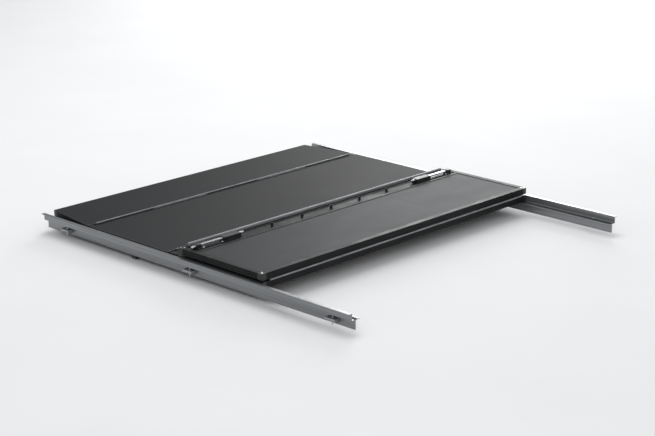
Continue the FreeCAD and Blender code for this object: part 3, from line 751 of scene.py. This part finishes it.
NYLON = moulded_nylon()
for panel in (1, 2, 3, 4):
    front, rear = ends_of(panel)[:2]
    node = f"panel_{panel}_corner_caps"
    body = BODY_OF[node]
    caps, heads = [], []
    for edge, way, hinge in ((front, -1, HINGE_AT[panel][0]), (rear, 1, HINGE_AT[panel][1])):
        back = edge + FRAME * way
        inside = half_at(panel, edge) - FRAME
        outline = [(inside, back), (inside, edge)]
        outline += [(half_at(panel, edge), edge), (half_at(panel, back), back)]
        levels = [(CAP_LIP, 0.0), (CAP_LIP * 0.3, CAP_LIP * 0.3), (0.0, CAP_LIP)]
        levels += [(0.0, UNDER_SKIN - CAP_CROWN), (CAP_CROWN, UNDER_SKIN)]
        caps += both_sides(laid(panel, slab(outline, CAP_CORNERS, levels)))
        if hinge is not None:
            crown = box_section((edge, UNDER_SKIN - SKIN), (edge + RIDGE * way, CREST))
            ridge_bar = bar(rounded(crown, FRAME_EDGE), "x", inside, HALF - RIDGE_SETBACK, 0.8 * MM)
            caps += both_sides(laid(panel, ridge_bar))
        for share in (0.28, 0.72):
            middle = (inside + FRAME * share, edge + FRAME * way * (1 - share), 0.0)
            heads += both_sides(laid(panel, screw_head(middle, "z", -1, CAP_SCREW, SCREW_RISE)))
    make_piece(f"panel_{panel}_corner_blocks", caps, NYLON, body, (node,))
    make_piece(f"panel_{panel}_corner_screws", heads, BRIGHT_ZINC, body)

# ---------------------------------------------------------------------------------------------
# Skins and cores: each panel is a sandwich of two painted aluminium sheets bonded to a foam slab. The
# top sheet has a matt, finely textured powder coat and rolled edges. The lining underneath is smooth
# and satin, set back in its frame, with a black glazing bead round it.


def towards_rim(tree, base, colour):
    """The base colour, turning to another where the piece's rim value rises to 1."""
    rim = add(tree, "ShaderNodeAttribute", {"attribute_name": "rim"}).outputs["Fac"]
    settings = {"data_type": "RGBA", 7: linear(colour)}
    return add(tree, "ShaderNodeMix", settings, {0: rim, 6: base}).outputs[2]


def powder_coat():
    """Fine-textured black powder coat: an orange-peel pebble, a dull sheen and a paler rim."""
    material, tree, shader, place = blank_material("textured_black_powder_coat", gloss=0.17)
    # the pebble is 0.5 mm; 2.5 mm shows it
    pebble = grain(tree, place, (2.5 * MM,) * 3)
    cloud = grain(tree, place, (260 * MM, 180 * MM, 100 * MM))
    base = shades(tree, cloud, "#1d1e1f", "#202122")
    tree.links.new(towards_rim(tree, base, "#303132"), shader.inputs["Base Color"])
    tree.links.new(spread(tree, cloud, 0.6, 0.63), shader.inputs["Roughness"])
    relief(tree, shader, [(pebble, 0.10 * MM)])
    return material


def satin_lining():
    """Coil-painted lining: charcoal grey, smooth and satin, with faint streaks and a darker rim of
    painted shade.
    """
    material, tree, shader, place = blank_material("coil_painted_satin_sheet", gloss=0.1)
    # rolling streaks are 0.5 mm wide; 5 mm shows them
    streaks = grain(tree, place, (5 * MM, 600 * MM, 5 * MM))
    smears = grain(tree, place, (210 * MM, 120 * MM, 60 * MM), 5.0)
    base = shades(tree, streaks, "#37383a", "#3c3d3f")
    # painted shade: the rim colour darkens the lining's outer band, where it sits set back in its frame
    tree.links.new(towards_rim(tree, base, "#2e2f31"), shader.inputs["Base Color"])
    tree.links.new(spread(tree, smears, 0.52, 0.56), shader.inputs["Roughness"])
    relief(tree, shader, [(streaks, 0.01 * MM)])
    return material


def bead_foam():
    """Expanded polystyrene: white beads 3 mm across pressed into cells, with soft dark joints."""
    material, tree, shader, place = blank_material("expanded_polystyrene", roughness=0.85)
    cells = add(tree, "ShaderNodeTexVoronoi", {"Scale": 1 / (3 * MM)}, {"Vector": place})
    white = shades(tree, cells.outputs["Distance"], "#f1f1ee", "#c9c9c4", 0.2, 0.8)
    tree.links.new(white, shader.inputs["Base Color"])
    relief(tree, shader, [(cells.outputs["Distance"], -0.3 * MM)])
    return material


def bead_rubber():
    """Solid black rubber bead: glossier than sponge, with a slight waxy bloom."""
    material, tree, shader, place = blank_material("solid_rubber_bead")
    bloom = grain(tree, place, (40 * MM, 40 * MM, 20 * MM))
    tree.links.new(shades(tree, bloom, "#0e0f10", "#1a1b1c"), shader.inputs["Base Color"])
    tree.links.new(spread(tree, bloom, 0.34, 0.46), shader.inputs["Roughness"])
    return material


def panel_outline(panel, front, rear, margin):
    """The four corners of a sheet, drawn in from the panel's sides by a margin."""
    rear_x, front_x = half_at(panel, rear) - margin, half_at(panel, front) - margin
    return [(-rear_x, rear), (rear_x, rear), (front_x, front), (-front_x, front)]


POWDER_COAT = powder_coat()
LINING = satin_lining()
FOAM = bead_foam()
BEAD = bead_rubber()
WELL = 2 * MM
SKIN_MARGIN = 0.8 * MM
BEAD_SIZE = 1.8 * MM
RIM = 14 * MM
for panel in (1, 2, 3, 4):
    front, rear, inner = ends_of(panel)
    body = BODY_OF[f"panel_{panel}_top_skin"]
    clear = [SKIN_MARGIN + (RIDGE if hinge is not None else 0.0) for hinge in HINGE_AT[panel]]
    cover = panel_outline(panel, front - clear[0], rear + clear[1], SKIN_MARGIN)
    rolls = [(0.0, UNDER_SKIN), (0.0, UNDER_SKIN + 0.3 * MM), (0.3 * MM, DEPTH - 0.25 * MM)]
    rolls += [(0.9 * MM, DEPTH), (RIM, DEPTH)]
    make_piece(
        f"panel_{panel}_top_sheet",
        [laid(panel, slab(cover, 3 * MM, rolls))],
        POWDER_COAT,
        body,
        (f"panel_{panel}_top_skin",),
        rim=(1, 1, 1, 0.8, 0),
    )
    # the lining's rim values give it its band of painted shade next to the frame
    lining = panel_outline(panel, front - FRAME, inner, FRAME + 0.4 * MM)
    face = [(RIM, WELL), (0.2 * MM, WELL), (0.0, WELL + 0.2 * MM), (0.0, WELL + SKIN)]
    make_piece(
        f"panel_{panel}_lining_sheet",
        [laid(panel, slab(lining, 1 * MM, face))],
        LINING,
        body,
        (f"panel_{panel}_bottom_skin",),
        rim=(0, 1, 1, 1),
    )
    curve = np.linspace(0, np.pi / 2, 6)
    quarter = [(BEAD_SIZE * math.sin(a), WELL - BEAD_SIZE * math.cos(a)) for a in curve]
    bead = slab(lining, 1 * MM, [(0.0, WELL)] + quarter[::-1])
    make_piece(
        f"panel_{panel}_glazing_bead", [laid(panel, bead)], BEAD, body, looped=True
    )
    frame["nodes"][f"panel_{panel}_core"].data.materials.clear()
    frame["nodes"][f"panel_{panel}_core"].data.materials.append(FOAM)

# ---------------------------------------------------------------------------------------------
# End seals: hollow rubber bulbs on a flat foot. One lies against the bed's front wall, and the one on
# the last panel comes down on the tailgate. Both are extruded and cut square, so the bore shows at
# the ends, and they are glossy where they have been wiped.


def bulb_rubber():
    """Extruded EPDM bulb, coloured mid grey as a painted sheen on black rubber, with a faint bloom and
    scuffed, duller patches.
    """
    material, tree, shader, place = blank_material("extruded_epdm_bulb_painted_sheen")
    scuffs = grain(tree, place, (55 * MM, 6 * MM, 6 * MM), 5.0)
    bloom = grain(tree, place, (160 * MM, 20 * MM, 20 * MM))
    # painted sheen: the mid greys stand in for the light a glossy black bulb reflects; the bloom only
    # varies them
    tree.links.new(shades(tree, bloom, "#85878a", "#9c9ea1"), shader.inputs["Base Color"])
    tree.links.new(spread(tree, scuffs, 0.2, 0.34), shader.inputs["Roughness"])
    relief(tree, shader, [(scuffs, 0.05 * MM)])
    return material


def bulb(centre, radius, bore, half):
    """A hollow tube along X, cut square: rings from the bore out over the end and back inside."""
    angle = np.linspace(0, 2 * np.pi, 28, endpoint=False)
    circle = np.stack([np.cos(angle), np.sin(angle)], 1)
    edge = 0.4 * MM
    stations = [(bore, -half), (radius - edge, -half)]
    stations += [(radius, x) for x in np.linspace(-half + edge, half - edge, 41)]
    stations += [(radius - edge, half), (bore, half)]
    stations += [(bore, 0.0)]
    return np.array([np.insert(circle * r + centre, 0, x, axis=1) for r, x in stations])


BULB_RUBBER_PAINTED_SHEEN = bulb_rubber()
BULB = 5.5 * MM
BORE = 3.5 * MM
FOOT = 1.5 * MM
for node, title, panel in (
    ("bulkhead_seal", "bulkhead_bulb", 1),
    ("tail_seal", "tail_bulb", FOLDED),
):
    low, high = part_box(node)
    if panel == FOLDED:
        middle = ((low.y + high.y) / 2, high.z - BULB)
        foot = box_section((low.y, low.z), (high.y, low.z + FOOT))
    else:
        middle = (high.y - BULB, (low.z + high.z) / 2)
        foot = box_section((low.y, low.z), (low.y + FOOT, high.z))
    body = BODY_OF[node]
    tube = bulb(middle, BULB, BORE, high.x)
    make_piece(title, [tube], BULB_RUBBER_PAINTED_SHEEN, body, (node,), looped=True)
    strip = bar(rounded(foot, 0.6 * MM), "x", -high.x, high.x, 0.3 * MM)
    make_piece(f"{title}_foot", [strip], BULB_RUBBER_PAINTED_SHEEN, body)

# ---------------------------------------------------------------------------------------------
# Front anchor brackets: bent and black-painted steel angles under the front panel. Their upright leg
# is bolted to the bed's front wall, and four button screws hold the flat one to the frame.


def black_coating(name, dark, light, low, high):
    """Black enamel, paint or vinyl: slight orange peel and a few dull, dusty patches."""
    material, tree, shader, place = blank_material(name)
    # orange peel is 1 mm; 2 mm shows it
    peel = grain(tree, place, (2 * MM,) * 3)
    dust = grain(tree, place, (30 * MM,) * 3, 5.0)
    tree.links.new(shades(tree, dust, dark, light, 0.4, 0.75), shader.inputs["Base Color"])
    tree.links.new(spread(tree, dust, low, high), shader.inputs["Roughness"])
    relief(tree, shader, [(peel, 0.05 * MM)])
    return material


BLACK_STEEL = black_coating("black_enamelled_steel", "#17181a", "#2a2b2d", 0.28, 0.46)
keep_node("front_anchor_brackets", BLACK_STEEL, 0.7 * MM)
anchor_low, anchor_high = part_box("front_anchor_brackets")
ANCHOR_STEEL = 3 * MM
ANCHOR_ROWS = (10 * MM, 34 * MM)
ANCHOR_LINES = (10 * MM, 32 * MM)
BUTTON_RADIUS = 5 * MM
BUTTON_RISE = 2.6 * MM
anchor_heads = []
for x in [anchor_high.x - row for row in ANCHOR_ROWS]:
    for y in [anchor_low.y + line for line in ANCHOR_LINES]:
        spot = (x, y, anchor_high.z - ANCHOR_STEEL)
        anchor_heads += both_sides(screw_head(spot, "z", -1, BUTTON_RADIUS, BUTTON_RISE))
make_piece(
    "anchor_bracket_screws", anchor_heads, BRIGHT_ZINC, BODY_OF["front_anchor_brackets"]
)

# ---------------------------------------------------------------------------------------------
# Slam latches: under the rear edge of the second and the last panel, a die-cast housing and a guide on
# each side carry a zinc-plated bolt that springs out under the ledge. One cable in a black sheath
# joins the two bolts, held off the frame by saddles, with a crimped ferrule where it enters.


def crimped(middle_x, y, z):
    """A ferrule along X: three swaged rings stand out from a slimmer sleeve."""
    half, slim, full = FERRULE_HALF, 4.3 * MM, 5 * MM
    rings = [(-half, slim - 1 * MM), (-half + 0.6 * MM, full)]
    for start in (-9, -1, 7):
        rings += [((start - 1) * MM, full), (start * MM, slim), ((start + 1) * MM, slim)]
        rings += [((start + 2) * MM, full)]
    rings += [(half - 0.6 * MM, full), (half, slim - 1 * MM)]
    return turned(rings, (middle_x, y, z), "x")


def latch_bolt(low, high, tip):
    """A flat bolt, x by x: its section is carried outwards, then tapers up to a slanting nose.

    The nose keeps its upper face, and its lower one rises to a quarter of the depth.
    """
    section = rounded(box_section((low[1], low[2]), (high[1], high[2])), 1.1 * MM)
    stations = ((low[0], 0.8), (low[0] + 0.8 * MM, 1.0), (tip, 1.0))
    stations += ((high[0] - 0.6 * MM, 0.3), (high[0], 0.22))
    rows = []
    for x, share in stations:
        ring = section.copy()
        ring[:, 1] = high[2] + (section[:, 1] - high[2]) * share
        rows.append(np.insert(ring, 0, x, axis=1))
    return np.array(rows)


def saddle(x, y, foot, top):
    """A bent strip over the cable: a foot, a post, a half ring over the sheath, a post and a foot.

    Its middle line is offset by half the strip's thickness to both sides.
    """
    radius, thick = 2.3 * MM, 0.9 * MM
    angle = np.linspace(np.pi, 0, 9)
    ring = np.stack([radius * np.cos(angle), top + radius * np.sin(angle)], 1)
    near, far = radius + 0.6 * MM, 8 * MM
    left_foot, right_foot = [(-far, foot), (-near, foot)], [(near, foot), (far, foot)]
    line = np.concatenate([left_foot, ring, right_foot])
    ahead = np.gradient(line, axis=0)
    ahead /= np.linalg.norm(ahead, axis=1, keepdims=True)
    out = np.stack([-ahead[:, 1], ahead[:, 0]], 1) * thick / 2
    section = np.concatenate([line + out, (line - out)[::-1]]) + [y, 0]
    return bar(section, "x", x - 4 * MM, x + 4 * MM, 0.15 * MM)


def sheathed_cable(name, y, z, half, spans):
    """A taut cable along X on a smooth spline, held between spans and a hair lower within each."""
    line = bpy.data.curves.new(name, "CURVE")
    line.dimensions = "3D"
    line.bevel_depth = CABLE_RADIUS
    line.bevel_resolution = 4
    line.use_fill_caps = True
    route = line.splines.new("NURBS")
    places = np.linspace(-half, half, 2 * spans + 1)
    route.points.add(len(places) - 1)
    for index, x in enumerate(places):
        route.points[index].co = (x, y, z - CABLE_SAG * (index % 2), 1.0)
    route.order_u = 3
    route.use_endpoint_u = True
    route.resolution_u = 8
    line.materials.append(SHEATH)
    piece = bpy.data.objects.new(name, line)
    bpy.context.scene.collection.objects.link(piece)
    return piece


CAST_BLACK = black_coating("black_die_casting", "#1c1d1f", "#303234", 0.36, 0.54)
SHEATH = black_coating("cable_sheath_vinyl", "#121314", "#1d1e1f", 0.3, 0.42)
FERRULE_HALF = 12 * MM
SADDLES = 5
SADDLE_SINK = 0.5 * MM
# a screw's head radius and rise
STRAP_SCREW = (2.2 * MM, 1.2 * MM)
HOUSING_SCREW = (4 * MM, 1.8 * MM)
STRAP_SCREW_OUT = 6 * MM
STRAP_SCREW_SINK = 1 * MM
HOUSING_ROWS = (34 * MM, 132 * MM)
HOUSING_SCREW_OUT = 12 * MM
BAR_FALL = 6 * MM
BAR_THICK = 6 * MM
NOSE = 14 * MM
CABLE_FALL = 9 * MM
CABLE_RADIUS = 1.5 * MM
CABLE_SAG = 0.4 * MM
for prefix, panel in (("mid", 2), ("tail", FOLDED)):
    keep_node(f"{prefix}_latch_bodies", CAST_BLACK, 0.9 * MM)
    housing_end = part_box(f"{prefix}_latch_bodies")[1].x
    bar_low, bar_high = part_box(f"{prefix}_latch_bolt_right")
    cable_low, cable_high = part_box(f"{prefix}_release_cable")
    y = (bar_low.y + bar_high.y) / 2
    cable_z = (cable_low.z + cable_high.z) / 2
    holder = BODY_OF[f"{prefix}_latch_bodies"]

    # made as it lies on a flat panel, with the bolt's upper face next to the frame
    flat_y = unfolded(y) if panel == FOLDED else y
    half_bar = (bar_high.y - bar_low.y) / 2
    bar_start = (bar_low.x, flat_y - half_bar, -BAR_FALL - BAR_THICK)
    bar_end = (bar_high.x, flat_y + half_bar, -BAR_FALL)
    bolt = laid(panel, latch_bolt(bar_start, bar_end, bar_high.x - NOSE))
    for side, factor in (("right", 1), ("left", -1)):
        node = f"{prefix}_latch_bolt_{side}"
        make_piece(
            f"{prefix}_{side}_slam_bolt",
            [bolt * [factor, 1, 1]],
            BRIGHT_ZINC,
            BODY_OF[node],
            (node,),
        )
    ferrule_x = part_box(f"{prefix}_cable_ferrules")[1].x - FERRULE_HALF
    make_piece(
        f"{prefix}_crimped_ferrules",
        both_sides(crimped(ferrule_x, y, cable_z)),
        BRIGHT_ZINC,
        BODY_OF[f"{prefix}_cable_ferrules"],
        (f"{prefix}_cable_ferrules",),
    )
    cable = sheathed_cable(f"{prefix}_sheathed_cable", y, cable_z, cable_high.x, SADDLES + 1)
    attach(cable, BODY_OF[f"{prefix}_release_cable"])
    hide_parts(f"{prefix}_release_cable")
    spacing = 2 * ferrule_x / (SADDLES + 1)
    saddles, strap_screws, heads = [], [], []
    for k in range(SADDLES):
        x = -ferrule_x + spacing * (k + 1)
        strap = saddle(x, flat_y, -CHANNEL + SADDLE_SINK, CABLE_FALL) * [1, 1, -1]
        saddles.append(laid(panel, strap))
        for shift in (-STRAP_SCREW_OUT, STRAP_SCREW_OUT):
            spot = (x, flat_y + shift, CHANNEL - STRAP_SCREW_SINK)
            strap_screws.append(laid(panel, screw_head(spot, "z", -1, *STRAP_SCREW)))
    for row in HOUSING_ROWS:
        for shift in (-HOUSING_SCREW_OUT, HOUSING_SCREW_OUT):
            spot = (housing_end - row, flat_y + shift, 0.0)
            heads += both_sides(laid(panel, screw_head(spot, "z", -1, *HOUSING_SCREW)))
    make_piece(f"{prefix}_cable_saddles", saddles, CAST_BLACK, holder)
    make_piece(f"{prefix}_saddle_screws", strap_screws, BLACK_STEEL, holder)
    make_piece(f"{prefix}_latch_screws", heads, BRIGHT_ZINC, holder)

# ---------------------------------------------------------------------------------------------
# Prop rods: a round steel rod hangs in a forked bracket under each side of the second panel, and
# swings down into a catch on the rail to hold the folded stack upright. All are black enamelled.

ROD_ENAMEL = black_coating("black_enamelled_rod", "#151617", "#26282a", 0.24, 0.4)
for node in ("prop_brackets", "prop_catches"):
    keep_node(node, BLACK_STEEL, 0.7 * MM)
for node in ("prop_rod_right", "prop_rod_left"):
    keep_node(node, ROD_ENAMEL, 0.5 * MM)

# ---------------------------------------------------------------------------------------------
# The room: a pale floor just under the lowest piece, a soft pale surround, three large soft lamps and
# the camera. The surround is a little darker ahead of the cover, where a cab would stand.

floor_z = cad_low.z - 1 * MM
FLOOR_HALF = 30
corners = [(x * FLOOR_HALF, y * FLOOR_HALF, floor_z) for x, y in ((-1, -1), (1, -1), (1, 1), (-1, 1))]
floor_mesh = bpy.data.meshes.new("floor")
floor_mesh.from_pydata(corners, [], [(0, 1, 2, 3)])
floor = bpy.data.objects.new("floor", floor_mesh)
bpy.context.scene.collection.objects.link(floor)
floor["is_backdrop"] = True
paint, tree, shader, place = blank_material("pale_floor_paint", roughness=0.9)
tree.links.new(
    shades(tree, grain(tree, place, (0.6, 0.6, 0.6)), "#f0f0f0", "#f2f2f2"), shader.inputs["Base Color"]
)
floor_mesh.materials.append(paint)

world = bpy.data.worlds.new("studio")
bpy.context.scene.world = world
world.use_nodes = True
# the direction's share towards the cab and the right, from -1 to 1, sets how pale the surround is
sky = world.node_tree
direction = add(sky, "ShaderNodeTexCoord").outputs["Generated"]
towards = {"operation": "DOT_PRODUCT", 1: (0.35, 0.94, 0.0)}
facing = add(sky, "ShaderNodeVectorMath", towards, {0: direction}).outputs["Value"]
surround = sky.nodes["Background"]
sky.links.new(shades(sky, facing, "#f4f6f8", "#a6a8aa", 0.45, 0.9), surround.inputs["Color"])
surround.inputs["Strength"].default_value = 0.62
bpy.context.scene.view_settings.view_transform = "Standard"

centre = (cad_low + cad_high) / 2


def lamp(name, place, size, power):
    """A square soft lamp aimed at the cover's centre."""
    data = bpy.data.lights.new(name, "AREA")
    data.size = size
    data.energy = power
    item = bpy.data.objects.new(name, data)
    bpy.context.scene.collection.objects.link(item)
    item.location = place
    item.rotation_euler = (centre - Vector(place)).to_track_quat("-Z", "Y").to_euler()


lamp("overhead_lamp", (0.5, 0.5, 5.0), 4.0, 110)
lamp("right_hand_lamp", (6.5, 3.2, 2.6), 3.2, 220)
lamp("near_lamp", (-4.0, -5.0, 3.0), 3.0, 60)

CAMERA_PLACE = Vector((-4.896, -5.544, 2.090))
camera_data = bpy.data.cameras.new("camera")
camera_data.lens = 93
camera = bpy.data.objects.new("camera", camera_data)
bpy.context.scene.collection.objects.link(camera)
camera.location = CAMERA_PLACE
camera.rotation_euler = (centre - CAMERA_PLACE).to_track_quat("-Z", "Y").to_euler()
bpy.context.scene.camera = camera

low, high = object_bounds()
